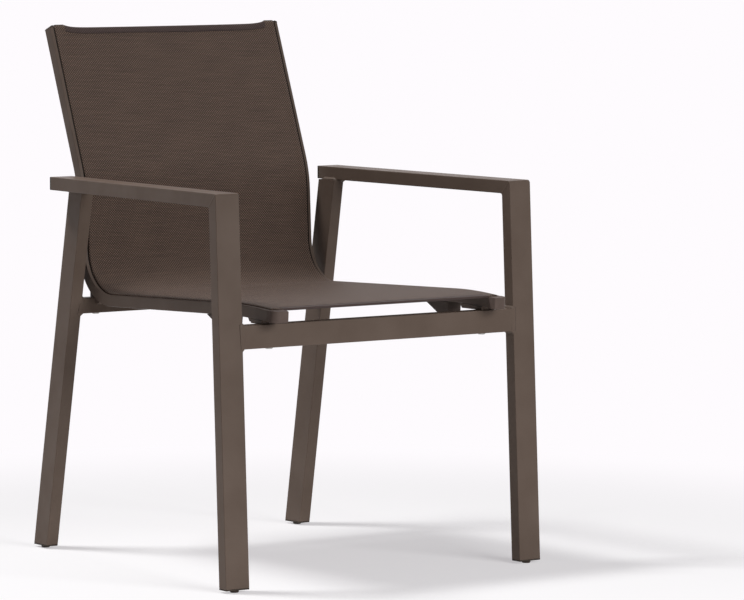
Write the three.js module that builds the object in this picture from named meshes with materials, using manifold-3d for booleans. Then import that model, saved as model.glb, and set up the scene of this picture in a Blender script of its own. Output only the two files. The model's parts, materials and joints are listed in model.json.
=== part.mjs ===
// A stacking patio armchair. Two side frames of rectangular aluminium tube are joined by a front
// rail and a rear cross rail, which carry two bent extrusions with a woven sling between them.
// Millimetres, +Z up, the front of the seat towards -Y. Left and right are as seen from the front.
import * as THREE from "three";
import { mergeVertices } from "three/addons/utils/BufferGeometryUtils.js";
import Module from "manifold-3d";

const wasm = await Module();
wasm.setup();

const degree = Math.PI / 180;

// Clearances, and the size of the blocks that trim tube ends
const seamGap = 0.3; // between pieces that are welded, bolted or seated on each other
const plugClearance = 0.3; // between a plug's stem and the tube wall round it
const fuseOverlap = 1; // how far joined shapes of one piece run into each other
const cutterSize = 900;

// Frame tube: arms, legs and rails are cut from the same stock
const tubeBroad = 42;
const tubeNarrow = 21;
const tubeCornerRadius = 1.2;
const tubeWall = 2;

// Side frames, which close towards the rear
const overallWidth = 600;
const armHeight = 609;
const armLength = 507;
const armCornerRadius = 4;
const armCornerGrind = 5; // how far both ends of that rounding are ground back along the edges
const grindRadius = 14;
const sideFrameToe = 2.07 * degree;
const frontLegRake = 2.7 * degree;
const rearLegRake = 10.3 * degree;
const rearLegSplay = 0.8 * degree;
const armOverhang = 12.5; // rear end of the arm beyond the leg under it
const rearLegLap = 14; // how much of the rear leg's width lies under the arm

// Plugs in the open ends of legs and arms
const glideHeight = 4;
const glideRadius = 7;
const glideEdge = 1.2;
const flangeThickness = 2.5;
const flangeEdge = 0.8;
const armPlugThickness = 4;
const armPlugEdge = 0.9;
const stemLength = 18;

// Rails across the frame
const frontRailTop = 407;
const frontRailHeight = 36.6;
const rearRailRise = 6; // top of the rear rail above the top of the front rail
const rearRailHeight = 25;

// Sling rail extrusion: a box section with a keyhole slot in its top face for the sling's spline
const shellInset = 77.3; // front outer corner of the arm to the outer face of the sling rail
const railWidth = 26;
const railDepth = 18.2;
const railCornerRadius = 1.4;
const railWall = 2;
const slotInset = 7;
const slotMouth = 3;
const slotLip = 1.6;
const boreRadius = 3.2;
const splineClearance = 0.3;

// Line of the sling rail's top face, from the nose to the top of the back
const railOverhang = 15; // front end of the sling rail to the front rail's face
const noseTip = 20; // straight end in front of the nose bend
const noseRadius = 900;
const noseTurn = 5.7 * degree;
const seatRise = 1.9 * degree;
const hipRadius = 72;
const lumbarLength = 80;
const lumbarLean = 2.7 * degree;
const crookRadius = 180;
const upperBackLength = 234.3;
const backRecline = 21.2 * degree;
const chordError = 0.1; // how far a facet may leave an arc of the line

// Rail end caps
const noseCapLength = 19;
const noseCapCorner = 12; // radius of the outer front corner, seen from above
const noseCapEdge = 2.5;
const topCapLength = 5;
const topCapRound = 2;
const capHeelRound = 2;

// Sling
const slingThickness = 1.2;
const slingTopSetback = 1;
const slingSlotGap = 0.5;

// Mountings under the sling rails
const footingWidth = 13;
const spacerHeight = 6.4; // front rail to sling rail
const spacerSetback = 2; // behind the front rail's face
const spacerReach = 38; // behind the front rail
const spacerSlant = 5;
const saddleStart = 24 * degree; // round the hip bend, from straight down towards the rear
const saddleEnd = 57 * degree;
const saddleReach = 16.3; // how far the saddle lies over the rear rail
const saddleApron = 12; // how far the saddle hangs down the front of the rear rail
const boltRadius = 3;
const boltHeadRadius = 6;
const boltHeadHeight = 1.8;
const boltHoleClearance = 0.3;
const boltGrip = 7; // thread beyond the rail that it clamps

// Stacking pads under the seat, behind the front rail
const padSetback = 70;
const padLength = 62;
const padDrop = 17.2;
const padFrontSlant = 2;
const padRearSlant = 33;

// Facets
const cornerFacets = 4;
const smallCornerFacets = 2;
const boreFacets = 9;
const roundFacets = 24;
const grindFacets = 48;
const splineFacets = 8;

const halfWidth = overallWidth / 2;
const halfShell = halfWidth - shellInset;
const armUnderside = armHeight - tubeNarrow;
const legFoot = glideHeight + flangeThickness;
const rearLegReach = armLength - armOverhang - tubeBroad; // front of the arm to the front of the rear leg
const rearLegInset = tubeBroad - rearLegLap; // outer face of the arm to the outer face of the rear leg
const rearRailTop = frontRailTop + rearRailRise;

const frameCoat = new THREE.MeshStandardMaterial({ color: 0x66594e, roughness: 0.45, metalness: 0.2 });
const railCoat = new THREE.MeshStandardMaterial({ color: 0x5c5047, roughness: 0.5, metalness: 0.2 });
const slingMesh = new THREE.MeshStandardMaterial({ color: 0x53473d, roughness: 0.8, metalness: 0 });
const capPlastic = new THREE.MeshStandardMaterial({ color: 0x3a322c, roughness: 0.6, metalness: 0 });
const splinePlastic = new THREE.MeshStandardMaterial({ color: 0x231f1c, roughness: 0.7, metalness: 0 });
const padPlastic = new THREE.MeshStandardMaterial({ color: 0x2b2826, roughness: 0.7, metalness: 0 });
const boltSteel = new THREE.MeshStandardMaterial({ color: 0x8c8c8a, roughness: 0.35, metalness: 0.9 });

// Solids for cuts and joins

function solid(geometry) {
  const bare = geometry.clone();
  bare.deleteAttribute("normal");
  bare.deleteAttribute("uv");
  const merged = mergeVertices(bare);
  return new wasm.Manifold(
    new wasm.Mesh({
      numProp: 3,
      vertProperties: merged.attributes.position.array,
      triVerts: new Uint32Array(merged.index.array),
    }),
  );
}

function surface(manifold) {
  const { vertProperties, triVerts } = manifold.getMesh();
  const geometry = new THREE.BufferGeometry();
  geometry.setAttribute("position", new THREE.BufferAttribute(vertProperties, 3));
  geometry.setIndex(new THREE.BufferAttribute(triVerts, 1));
  const faceted = geometry.toNonIndexed();
  faceted.computeVertexNormals();
  return faceted;
}

function cut(geometry, ...tools) {
  return surface(tools.reduce((left, tool) => left.subtract(solid(tool)), solid(geometry)));
}

function fuse(geometry, ...others) {
  return surface(others.reduce((sum, other) => sum.add(solid(other)), solid(geometry)));
}

function piece(name, geometry, material) {
  const mesh = new THREE.Mesh(geometry, material);
  mesh.name = name;
  return mesh;
}

// Outlines

function arcPoints(x, y, radius, from, to, facets) {
  return Array.from({ length: facets + 1 }, (_, i) => {
    const angle = from + ((to - from) * i) / facets;
    return new THREE.Vector2(x + radius * Math.cos(angle), y + radius * Math.sin(angle));
  });
}

function roundedOutline(width, depth, radius, inset = 0, facets = cornerFacets) {
  const r = Math.max(radius - inset, seamGap);
  const [x0, y0, x1, y1] = [inset, inset, width - inset, depth - inset];
  const quarter = Math.PI / 2;
  return [
    ...arcPoints(x0 + r, y0 + r, r, 2 * quarter, 3 * quarter, facets),
    ...arcPoints(x1 - r, y0 + r, r, 3 * quarter, 4 * quarter, facets),
    ...arcPoints(x1 - r, y1 - r, r, 0, quarter, facets),
    ...arcPoints(x0 + r, y1 - r, r, quarter, 2 * quarter, facets),
  ];
}

// A prism on the XY plane, from z = 0 up
function prism(outline, height, ...holes) {
  const shape = new THREE.Shape(outline);
  shape.holes = holes.map((hole) => new THREE.Path(hole));
  return new THREE.ExtrudeGeometry(shape, { depth: height, bevelEnabled: false });
}

// A side profile, drawn as (y, z) points, that is extruded along X
const profileToSide = new THREE.Matrix4().makeBasis(
  new THREE.Vector3(0, 1, 0),
  new THREE.Vector3(0, 0, 1),
  new THREE.Vector3(1, 0, 0),
);

function sideProfile(outline, width, ...holes) {
  return prism(outline, width, ...holes).applyMatrix4(profileToSide);
}

// Rectangular tube along +Z with open ends
function tube(width, depth, length) {
  const inner = roundedOutline(width, depth, tubeCornerRadius, tubeWall, smallCornerFacets);
  return prism(roundedOutline(width, depth, tubeCornerRadius), length, inner);
}

// What fills the inside of that tube, less the clearance of a plug
function tubeCore(width, depth, length, clearance) {
  const inset = tubeWall + clearance;
  return prism(roundedOutline(width, depth, tubeCornerRadius, inset, smallCornerFacets), length);
}

// A flat lid on the XY plane whose upper edge is rounded
function lid(width, depth, thickness, edge) {
  const shape = new THREE.Shape(roundedOutline(width, depth, tubeCornerRadius));
  const pillow = new THREE.ExtrudeGeometry(shape, {
    depth: 2 * (thickness - edge),
    bevelThickness: edge,
    bevelSize: edge,
    bevelOffset: -edge,
    bevelSegments: smallCornerFacets + 1,
  }).translate(0, 0, edge - thickness);
  const lower = new THREE.BoxGeometry(cutterSize, cutterSize, cutterSize).translate(0, 0, -cutterSize / 2);
  return cut(pillow, lower);
}

function cylinder(radius, length) {
  return new THREE.CylinderGeometry(radius, radius, length, roundFacets);
}

// A block that removes everything on one side of a plane across Y and Z through a point.
// The plane's normal points towards the removed side, at an angle above +Y.
function planeCutter(y, z, angle, offset) {
  return new THREE.BoxGeometry(cutterSize, cutterSize, cutterSize)
    .translate(0, cutterSize / 2 + offset, 0)
    .rotateX(angle)
    .translate(0, y, z);
}

// Side frame, in its own upright frame: x inboard from the arm's outer face, y back from its front

const frontLegLean = new THREE.Matrix4().makeShear(0, 0, 0, 0, 0, Math.tan(frontLegRake));
const rearLegLean = new THREE.Matrix4().makeShear(0, 0, 0, 0, Math.tan(rearLegSplay), -Math.tan(rearLegRake));
const mitreDepth = tubeNarrow * (1 - Math.tan(frontLegRake));
const mitreAngle = Math.atan2(mitreDepth, tubeNarrow);

// Leans what is drawn upright at the front leg's or rear leg's place under the arm
function atFrontLeg(geometry) {
  return geometry.translate(0, 0, -armHeight).applyMatrix4(frontLegLean).translate(0, 0, armHeight);
}

function atRearLeg(geometry) {
  return geometry
    .translate(0, 0, -armUnderside)
    .applyMatrix4(rearLegLean)
    .translate(rearLegInset, rearLegReach, armUnderside);
}

// Rounds the front top edge, which arm and front leg share
function armEdgeCutter() {
  const y = armCornerRadius / Math.cos(frontLegRake) - armCornerRadius * Math.tan(frontLegRake);
  const z = armHeight - armCornerRadius;
  const round = cylinder(armCornerRadius, cutterSize).rotateZ(Math.PI / 2).translate(0, y, z);
  const corner = new THREE.BoxGeometry(tubeBroad * 2, tubeBroad, tubeBroad)
    .translate(tubeBroad / 2, y - tubeBroad / 2, z + tubeBroad / 2);
  return cut(corner, round);
}

// Grinds back the corner at one end of that edge: 0 is the outer end, 1 the inner one
function armCornerCutter(end) {
  const depth = (armCornerGrind + Math.sqrt(3 * grindRadius ** 2 - 2 * armCornerGrind ** 2)) / 3;
  const across = (inset) => (end === 0 ? inset : tubeBroad - inset);
  const size = armCornerGrind + fuseOverlap;
  const middle = armCornerGrind - size / 2;
  const block = new THREE.BoxGeometry(size, size, size).translate(across(middle), middle, armHeight - middle);
  const ball = new THREE.SphereGeometry(grindRadius, grindFacets, grindFacets / 2)
    .translate(across(depth), depth, armHeight - depth);
  return cut(block, ball);
}

function armCornerCutters() {
  return [armEdgeCutter(), armCornerCutter(0), armCornerCutter(1)];
}

function frontLeg(name) {
  const blank = atFrontLeg(tube(tubeBroad, tubeNarrow, armHeight - legFoot).translate(0, 0, legFoot));
  const mitre = planeCutter(0, armHeight, mitreAngle, -seamGap / 2);
  return piece(name, cut(blank, mitre, ...armCornerCutters()), frameCoat);
}

function armrest(name) {
  const tubeEnd = armLength - armPlugThickness;
  const blank = tube(tubeBroad, tubeNarrow, tubeEnd).rotateX(-Math.PI / 2).translate(0, 0, armHeight);
  const mitre = planeCutter(0, armHeight, mitreAngle + Math.PI, -seamGap / 2);
  return piece(name, cut(blank, mitre, ...armCornerCutters()), frameCoat);
}

function armrestPlug(name) {
  const head = lid(tubeBroad, tubeNarrow, armPlugThickness - seamGap, armPlugEdge);
  const stem = tubeCore(tubeBroad, tubeNarrow, stemLength + fuseOverlap, plugClearance);
  const plug = fuse(head, stem.translate(0, 0, -stemLength))
    .rotateX(-Math.PI / 2)
    .translate(0, armLength - armPlugThickness + seamGap, armHeight);
  return piece(name, plug, capPlastic);
}

// The leg's top is closed, because it stands proud of the arm's inner face
function rearLeg(name) {
  const height = armUnderside - seamGap - legFoot;
  const outer = prism(roundedOutline(tubeNarrow, tubeBroad, tubeCornerRadius), height);
  const hollow = tubeCore(tubeNarrow, tubeBroad, height, 0).translate(0, 0, -tubeWall);
  return piece(name, atRearLeg(cut(outer, hollow).translate(0, 0, legFoot)), frameCoat);
}

// A plug with a flange under the tube and a round glide under the flange
function foot(name, width, depth, atLeg) {
  const flange = lid(width, depth, flangeThickness - seamGap, flangeEdge)
    .rotateX(Math.PI)
    .translate(0, depth, legFoot - seamGap);
  const stem = tubeCore(width, depth, stemLength + fuseOverlap, plugClearance).translate(
    0, 0, legFoot - seamGap - fuseOverlap,
  );
  const glide = new THREE.LatheGeometry(
    [
      new THREE.Vector2(0, 0),
      new THREE.Vector2(glideRadius - glideEdge, 0),
      new THREE.Vector2(glideRadius, glideEdge),
      new THREE.Vector2(glideRadius, glideHeight + fuseOverlap),
      new THREE.Vector2(0, glideHeight + fuseOverlap),
    ],
    roundFacets,
  ).rotateX(Math.PI / 2).translate(width / 2, depth / 2, 0);
  return piece(name, atLeg(fuse(flange, stem, glide)), capPlastic);
}

function sideFrame(side) {
  const group = new THREE.Group();
  group.add(
    frontLeg(`front_leg_${side}`),
    rearLeg(`rear_leg_${side}`),
    armrest(`armrest_${side}`),
    armrestPlug(`armrest_plug_${side}`),
    foot(`front_foot_${side}`, tubeBroad, tubeNarrow, atFrontLeg),
    foot(`rear_foot_${side}`, tubeNarrow, tubeBroad, atRearLeg),
  );
  group.rotation.z = -sideFrameToe;
  group.position.x = -halfWidth;
  return group;
}

// Rails across the frame, cut to the legs' inner faces

const toSideFrame = new THREE.Matrix4()
  .makeTranslation(-halfWidth, 0, 0)
  .multiply(new THREE.Matrix4().makeRotationZ(-sideFrameToe));

// Where a point of the left side frame's own frame lies on the chair
function onChair(x, y, z) {
  return new THREE.Vector3(x, y, z).applyMatrix4(toSideFrame);
}

function frontLegFace(z) {
  return onChair(tubeBroad, -(armHeight - z) * Math.tan(frontLegRake), z).y;
}

function rearLegFace(z) {
  const drop = armUnderside - z;
  const x = rearLegInset + tubeNarrow - drop * Math.tan(rearLegSplay);
  return onChair(x, rearLegReach + drop * Math.tan(rearLegRake), z).y;
}

const frontRailFace = frontLegFace(frontRailTop - frontRailHeight / 2);
const frontRailMiddle = frontRailFace + tubeNarrow / 2;
const rearRailFace = rearLegFace(rearRailTop - rearRailHeight / 2);
const rearRailMiddle = rearRailFace + tubeNarrow / 2;
const boltX = -halfShell + railWidth - footingWidth / 2;

// Solid legs, grown by the seam gap and drawn outboard, that trim one end of a rail
function endCutter(legWidth, atLeg) {
  const block = new THREE.BoxGeometry(cutterSize, cutterSize, armHeight).translate(
    legWidth + seamGap - cutterSize / 2, 0, armHeight / 2,
  );
  return atLeg(block).applyMatrix4(toSideFrame);
}

function mirrored(geometry) {
  return surface(solid(geometry).mirror([1, 0, 0]));
}

function boltHole(y, z, length) {
  return cylinder(boltRadius + boltHoleClearance, length)
    .rotateX(Math.PI / 2)
    .translate(boltX, y, z + length / 2);
}

function crossRail(name, face, top, height, legWidth, atLeg) {
  const stock = tube(height, tubeNarrow, overallWidth)
    .rotateY(Math.PI / 2)
    .translate(-halfWidth, face, top);
  const end = endCutter(legWidth, atLeg);
  const hole = boltHole(face + tubeNarrow / 2, top - cutterSize / 2, cutterSize);
  return piece(name, cut(stock, end, mirrored(end), hole, mirrored(hole)), frameCoat);
}

// The sling rail's line, a chain of straights and arcs in the (y, z) plane

class RailLine extends THREE.Curve {
  constructor() {
    super();
    this.stations = [];
  }

  // Starts at a point with a heading, which is an angle above +Y
  start(y, z, heading) {
    Object.assign(this, { y, z, heading });
    this.stations.push({ y, z, heading });
    return this;
  }

  straight(length) {
    return this.start(
      this.y + length * Math.cos(this.heading),
      this.z + length * Math.sin(this.heading),
      this.heading,
    );
  }

  // Turns up (or down, where the turn is negative) round an arc of the radius
  bend(radius, turn) {
    const count = Math.ceil(Math.abs(turn) / (2 * Math.acos(1 - chordError / radius)));
    const reach = radius * Math.sign(turn);
    const centreY = this.y - reach * Math.sin(this.heading);
    const centreZ = this.z + reach * Math.cos(this.heading);
    const from = this.heading;
    for (let i = 1; i <= count; i++) {
      const heading = from + (turn * i) / count;
      this.start(centreY + reach * Math.sin(heading), centreZ - reach * Math.cos(heading), heading);
    }
    return this;
  }

  get steps() {
    return this.stations.length - 1;
  }

  get first() {
    return this.stations[0];
  }

  get last() {
    return this.stations[this.steps];
  }

  // Sections stand at the stations, so straights take one step
  getPoint(t, target = new THREE.Vector3()) {
    const { y, z } = this.stations[Math.round(t * this.steps)];
    return target.set(0, y, z);
  }

  getPointAt(u, target) {
    return this.getPoint(u, target);
  }

  getTangentAt(u, target = new THREE.Vector3()) {
    const { heading } = this.stations[Math.round(u * this.steps)];
    return target.set(0, Math.cos(heading), Math.sin(heading));
  }
}

// The nose bend's centre hangs under the seat, so that its underside clears the front rail by a spacer.
const noseHeading = noseTurn - seatRise;
const noseStartY = frontRailFace - railOverhang;
const noseCentreY = noseStartY + noseTip * Math.cos(noseHeading) + noseRadius * Math.sin(noseHeading);
const noseUndersideRise = Math.sqrt((noseRadius - railDepth) ** 2 - (frontRailMiddle - noseCentreY) ** 2);
const noseCentreZ = frontRailTop + spacerHeight - noseUndersideRise;
const noseStartZ = noseCentreZ + noseRadius * Math.cos(noseHeading) - noseTip * Math.sin(noseHeading);

// The hip bend lies in the saddles on the rear rail.
const saddleRadius = hipRadius + railDepth + seamGap;
const hipY = rearRailFace + saddleReach - saddleRadius * Math.sin(saddleEnd);
const seatFrontY = noseCentreY + noseRadius * Math.sin(seatRise);
const seatLength = (hipY - hipRadius * Math.sin(seatRise) - seatFrontY) / Math.cos(seatRise);
const hipFrontZ = noseCentreZ + noseRadius * Math.cos(seatRise) - seatLength * Math.sin(seatRise);
const hipHeight = hipFrontZ + hipRadius * Math.cos(seatRise);
const uprightHeading = Math.PI / 2 - lumbarLean;
const reclineHeading = Math.PI / 2 - backRecline;

const railLine = new RailLine()
  .start(noseStartY, noseStartZ, noseHeading)
  .straight(noseTip)
  .bend(noseRadius, -noseTurn)
  .straight(seatLength)
  .bend(hipRadius, uprightHeading + seatRise)
  .straight(lumbarLength)
  .bend(crookRadius, reclineHeading - uprightHeading)
  .straight(upperBackLength);

// The rail's underside, as (y, z) points
const undersideLine = railLine.stations.map(
  ({ y, z, heading }) =>
    new THREE.Vector2(y + railDepth * Math.sin(heading), z - railDepth * Math.cos(heading)),
);

// Its height at a place along the seat
function underside(y) {
  const next = undersideLine.findIndex((point) => point.x > y);
  const [from, to] = undersideLine.slice(next - 1, next + 1);
  return THREE.MathUtils.mapLinear(y, from.x, to.x, from.y, to.y);
}

// What seats on it from one place to another follows it, a seam gap lower
function undersideRun(from, to) {
  const bends = undersideLine.map((point) => point.x).filter((y) => y > from && y < to);
  return [from, ...bends, to].map((y) => new THREE.Vector2(y, underside(y) - seamGap));
}

// Keyhole slot: where the bore's centre lies under the top face
const mouthAngle = Math.asin(slotMouth / 2 / boreRadius);
const boreV = -slotLip - boreRadius * Math.cos(mouthAngle);

// Rail section: u runs inboard from the outer face, v down from the top face.
// A sweep along the rail line lays its first axis outboard, so u is drawn negative.
function railSection() {
  const r = railCornerRadius;
  const quarter = Math.PI / 2;
  const half = slotMouth / 2;
  const [boreStart, boreEnd] = [quarter + mouthAngle, 5 * quarter - mouthAngle];
  const bore = arcPoints(-slotInset, boreV, boreRadius, boreStart, boreEnd, boreFacets);
  return [
    ...arcPoints(-railWidth + r, -railDepth + r, r, 2 * quarter, 3 * quarter, smallCornerFacets),
    ...arcPoints(-r, -railDepth + r, r, 3 * quarter, 4 * quarter, smallCornerFacets),
    ...arcPoints(-r, -r, r, 0, quarter, smallCornerFacets),
    new THREE.Vector2(-slotInset + half, 0),
    ...bore.reverse(),
    new THREE.Vector2(-slotInset - half, 0),
    ...arcPoints(-railWidth + r, -r, r, quarter, 2 * quarter, smallCornerFacets),
  ];
}

// The hollow is L shaped, because the bore takes its outer upper corner
function railHollow(clearance) {
  const outer = -railWall - clearance;
  const inner = -railWidth + railWall + clearance;
  const floor = -railDepth + railWall + clearance;
  const ceiling = -railWall - clearance;
  const shelf = boreV - boreRadius - railWall - clearance;
  const web = -slotInset - boreRadius - railWall - clearance;
  return [
    new THREE.Vector2(outer, floor),
    new THREE.Vector2(outer, shelf),
    new THREE.Vector2(web, shelf),
    new THREE.Vector2(web, ceiling),
    new THREE.Vector2(inner, ceiling),
    new THREE.Vector2(inner, floor),
  ];
}

function sweep(outline, ...holes) {
  const shape = new THREE.Shape(outline);
  shape.holes = holes.map((hole) => new THREE.Path(hole));
  return new THREE.ExtrudeGeometry(shape, { steps: railLine.steps, extrudePath: railLine });
}

function slingRail(name) {
  const bar = sweep(railSection(), railHollow(0)).translate(-halfShell, 0, 0);
  const reach = railWall + boltGrip;
  const hole = boltHole(frontRailMiddle, underside(frontRailMiddle) - reach / 2, reach);
  return piece(name, cut(bar, hole), railCoat);
}

function spline(name) {
  const radius = boreRadius - splineClearance;
  const round = arcPoints(-slotInset, boreV, radius, 0, 2 * Math.PI, splineFacets).slice(0, -1);
  return piece(name, sweep(round).translate(-halfShell, 0, 0), splinePlastic);
}

// Caps, drawn with y along the rail and z up from its top face

function capStem(along) {
  const outline = railHollow(plugClearance).map((point) => new THREE.Vector2(-point.x, point.y));
  return prism(outline.reverse(), stemLength + fuseOverlap)
    .rotateX(Math.PI / 2)
    .translate(0, along, 0);
}

function railCap(name, body, stem, station) {
  const cap = fuse(body, stem)
    .rotateX(station.heading)
    .translate(-halfShell, station.y, station.z);
  return piece(name, cap, capPlastic);
}

// What rounds the nose cap's outer front corner
function noseCornerCutter() {
  const middle = noseCapCorner - noseCapLength;
  const round = cylinder(noseCapCorner, cutterSize).rotateX(Math.PI / 2).translate(noseCapCorner, middle, 0);
  const corner = new THREE.BoxGeometry(2 * noseCapCorner, 2 * noseCapCorner, 4 * railDepth)
    .translate(0, -noseCapLength, 0);
  return cut(corner, round);
}

function noseCap(name) {
  const quarter = Math.PI / 2;
  const profile = [
    new THREE.Vector2(-seamGap, -railDepth),
    new THREE.Vector2(-seamGap, 0),
    ...arcPoints(noseCapEdge - noseCapLength, -noseCapEdge, noseCapEdge, quarter, 2 * quarter, cornerFacets),
    ...arcPoints(
      capHeelRound - noseCapLength, capHeelRound - railDepth, capHeelRound,
      2 * quarter, 3 * quarter, cornerFacets,
    ),
  ];
  const body = cut(sideProfile(profile, railWidth), noseCornerCutter());
  return railCap(name, body, capStem(stemLength), railLine.first);
}

function topCap(name) {
  const quarter = Math.PI / 2;
  const end = topCapLength - topCapRound;
  const profile = [
    new THREE.Vector2(seamGap, 0),
    new THREE.Vector2(seamGap, -railDepth),
    ...arcPoints(end, topCapRound - railDepth, topCapRound, -quarter, 0, cornerFacets),
    ...arcPoints(end, -topCapRound, topCapRound, 0, quarter, cornerFacets),
  ];
  return railCap(name, sideProfile(profile, railWidth), capStem(fuseOverlap), railLine.last);
}

// Mountings

// A bar from the front rail's face to well behind it
function spacer(name) {
  const front = frontRailFace + spacerSetback;
  const rear = frontRailFace + tubeNarrow + spacerReach;
  const profile = [
    new THREE.Vector2(front, frontRailTop + seamGap),
    new THREE.Vector2(rear - spacerSlant, frontRailTop + seamGap),
    ...undersideRun(front, rear).reverse(),
  ];
  const block = sideProfile(profile, footingWidth).translate(boltX - footingWidth / 2, 0, 0);
  const hole = boltHole(frontRailMiddle, frontRailTop - boltGrip, cutterSize);
  return piece(name, cut(block, hole), railCoat);
}

// A saddle fills the wedge between the hip bend and the rear rail's front top corner
function saddle(name) {
  const quarter = Math.PI / 2;
  const [from, to] = [saddleEnd - quarter, saddleStart - quarter];
  const seat = arcPoints(hipY, hipHeight, saddleRadius, from, to, cornerFacets * 2);
  const face = rearRailFace - seamGap;
  const top = rearRailTop + seamGap;
  const profile = [
    ...seat,
    new THREE.Vector2(face, top - saddleApron),
    new THREE.Vector2(face, top),
    new THREE.Vector2(rearRailFace + saddleReach, top),
  ];
  const block = sideProfile(profile, footingWidth).translate(boltX - footingWidth / 2, 0, 0);
  const length = boltGrip + seamGap + fuseOverlap;
  return piece(name, cut(block, boltHole(rearRailMiddle, top - fuseOverlap, length)), railCoat);
}

// A button head under the rail and a plain shank through it
function bolt(name, y, bottom, length) {
  const head = boltHeadHeight + seamGap;
  const shape = new THREE.LatheGeometry(
    [
      new THREE.Vector2(0, 0),
      new THREE.Vector2(boltHeadRadius - boltHeadHeight / 2, 0),
      new THREE.Vector2(boltHeadRadius, boltHeadHeight / 2),
      new THREE.Vector2(boltHeadRadius, boltHeadHeight),
      new THREE.Vector2(boltRadius, boltHeadHeight),
      new THREE.Vector2(boltRadius, head + length),
      new THREE.Vector2(0, head + length),
    ],
    roundFacets,
  );
  return piece(name, shape.rotateX(Math.PI / 2).translate(boltX, y, bottom - head), boltSteel);
}

function stackingPad(name) {
  const front = frontRailFace + tubeNarrow + padSetback;
  const rear = front + padLength;
  const profile = [
    new THREE.Vector2(front + padFrontSlant, underside(front) - padDrop),
    new THREE.Vector2(rear - padRearSlant, underside(rear) - padDrop),
    ...undersideRun(front, rear).reverse(),
  ];
  return piece(name, sideProfile(profile, railWidth).translate(-halfShell, 0, 0), padPlastic);
}

function seatSide(side) {
  const frontLength = underside(frontRailMiddle) - (frontRailTop - frontRailHeight) + railWall + fuseOverlap;
  const group = new THREE.Group();
  group.add(
    slingRail(`sling_rail_${side}`),
    spline(`spline_${side}`),
    noseCap(`nose_cap_${side}`),
    topCap(`top_cap_${side}`),
    spacer(`seat_spacer_${side}`),
    saddle(`rear_saddle_${side}`),
    stackingPad(`stacking_pad_${side}`),
    bolt(`front_bolt_${side}`, frontRailMiddle, frontRailTop - frontRailHeight, frontLength),
    bolt(`rear_bolt_${side}`, rearRailMiddle, rearRailTop - rearRailHeight, rearRailHeight + boltGrip),
  );
  return group;
}

// The sling lies on the rails' top faces, from slot to slot
function sling() {
  const edge = (station, offset, along = 0) =>
    new THREE.Vector2(
      station.y - offset * Math.sin(station.heading) + along * Math.cos(station.heading),
      station.z + offset * Math.cos(station.heading) + along * Math.sin(station.heading),
    );
  const side = (offset) =>
    railLine.stations.map((station) =>
      edge(station, offset, station === railLine.last ? -slingTopSetback : 0),
    );
  const width = 2 * (halfShell - slotInset - slotMouth / 2 - slingSlotGap);
  const outline = [...side(seamGap), ...side(seamGap + slingThickness).reverse()];
  return piece("sling", sideProfile(outline, width).translate(-width / 2, 0, 0), slingMesh);
}

const chair = new THREE.Group();
for (const side of ["left", "right"]) {
  const half = new THREE.Group();
  half.add(sideFrame(side), seatSide(side));
  half.scale.x = side === "left" ? 1 : -1;
  chair.add(half);
}
chair.add(
  crossRail("front_rail", frontRailFace, frontRailTop, frontRailHeight, tubeBroad, atFrontLeg),
  crossRail("rear_rail", rearRailFace, rearRailTop, rearRailHeight, tubeNarrow, atRearLeg),
  sling(),
);

// The origin is on the floor, under the middle of the chair
chair.updateMatrixWorld(true);
const extent = new THREE.Box3().setFromObject(chair, true);
chair.position.y = -(extent.min.y + extent.max.y) / 2;
chair.position.z = -extent.min.z;

export default chair;
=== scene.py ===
import json
import math

import bpy
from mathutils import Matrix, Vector, noise


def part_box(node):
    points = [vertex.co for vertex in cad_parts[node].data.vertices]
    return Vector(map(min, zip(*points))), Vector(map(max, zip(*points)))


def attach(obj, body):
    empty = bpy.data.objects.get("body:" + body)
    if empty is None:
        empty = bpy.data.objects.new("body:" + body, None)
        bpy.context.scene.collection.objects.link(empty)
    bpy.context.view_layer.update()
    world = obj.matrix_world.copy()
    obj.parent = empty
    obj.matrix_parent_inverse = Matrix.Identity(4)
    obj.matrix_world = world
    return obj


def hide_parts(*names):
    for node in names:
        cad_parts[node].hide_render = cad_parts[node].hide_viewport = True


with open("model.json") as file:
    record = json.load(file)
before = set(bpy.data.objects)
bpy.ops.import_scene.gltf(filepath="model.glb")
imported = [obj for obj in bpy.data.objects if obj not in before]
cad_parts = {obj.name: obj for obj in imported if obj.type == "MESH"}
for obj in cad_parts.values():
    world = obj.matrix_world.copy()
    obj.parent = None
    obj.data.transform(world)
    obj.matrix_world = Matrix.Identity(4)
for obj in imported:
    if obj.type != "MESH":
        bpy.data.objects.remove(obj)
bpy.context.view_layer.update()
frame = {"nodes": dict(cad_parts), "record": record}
nodes = frame["nodes"]

# Frame tube and side frames, as in the CAD source
overall_width = 0.6
arm_height = 0.609
arm_tube_length = 0.503  # without the plug in its rear end
tube_broad = 0.042
tube_narrow = 0.021
tube_corner_radius = 0.0012
arm_corner_radius = 0.004
arm_grind_radius = 0.014
arm_grind_inset = 0.0094  # to the middle of the rounding on the arm's front corners, here rounded to 0.1 mm
side_frame_toe = math.radians(2.07)
front_leg_rake = math.radians(2.7)
rear_leg_rake = math.radians(10.3)
rear_leg_splay = math.radians(0.8)
rear_leg_reach = 0.4525  # front of the arm to the front of the rear leg
rear_leg_inset = 0.028  # outer face of the arm to the outer face of the rear leg
arm_underside = arm_height - tube_narrow

# Line of the sling rail's top face, as in the CAD source
rail_width = 0.026
rail_depth = 0.0182
slot_inset = 0.007
slot_mouth = 0.003
hip_radius = 0.072
seat_rise = math.radians(1.9)
nose_radius = 0.9
nose_turn = math.radians(5.7)
nose_tip = 0.02
lumbar_length = 0.08
lumbar_lean = math.radians(2.7)
crook_radius = 0.18
upper_back_length = 0.2343
back_recline = math.radians(21.2)

# Smooth shading of the CAD nodes
merge_distance = 0.00001
sharp_turn = math.radians(35)  # edges that turn by more stay sharp
face_weight = 80

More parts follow.
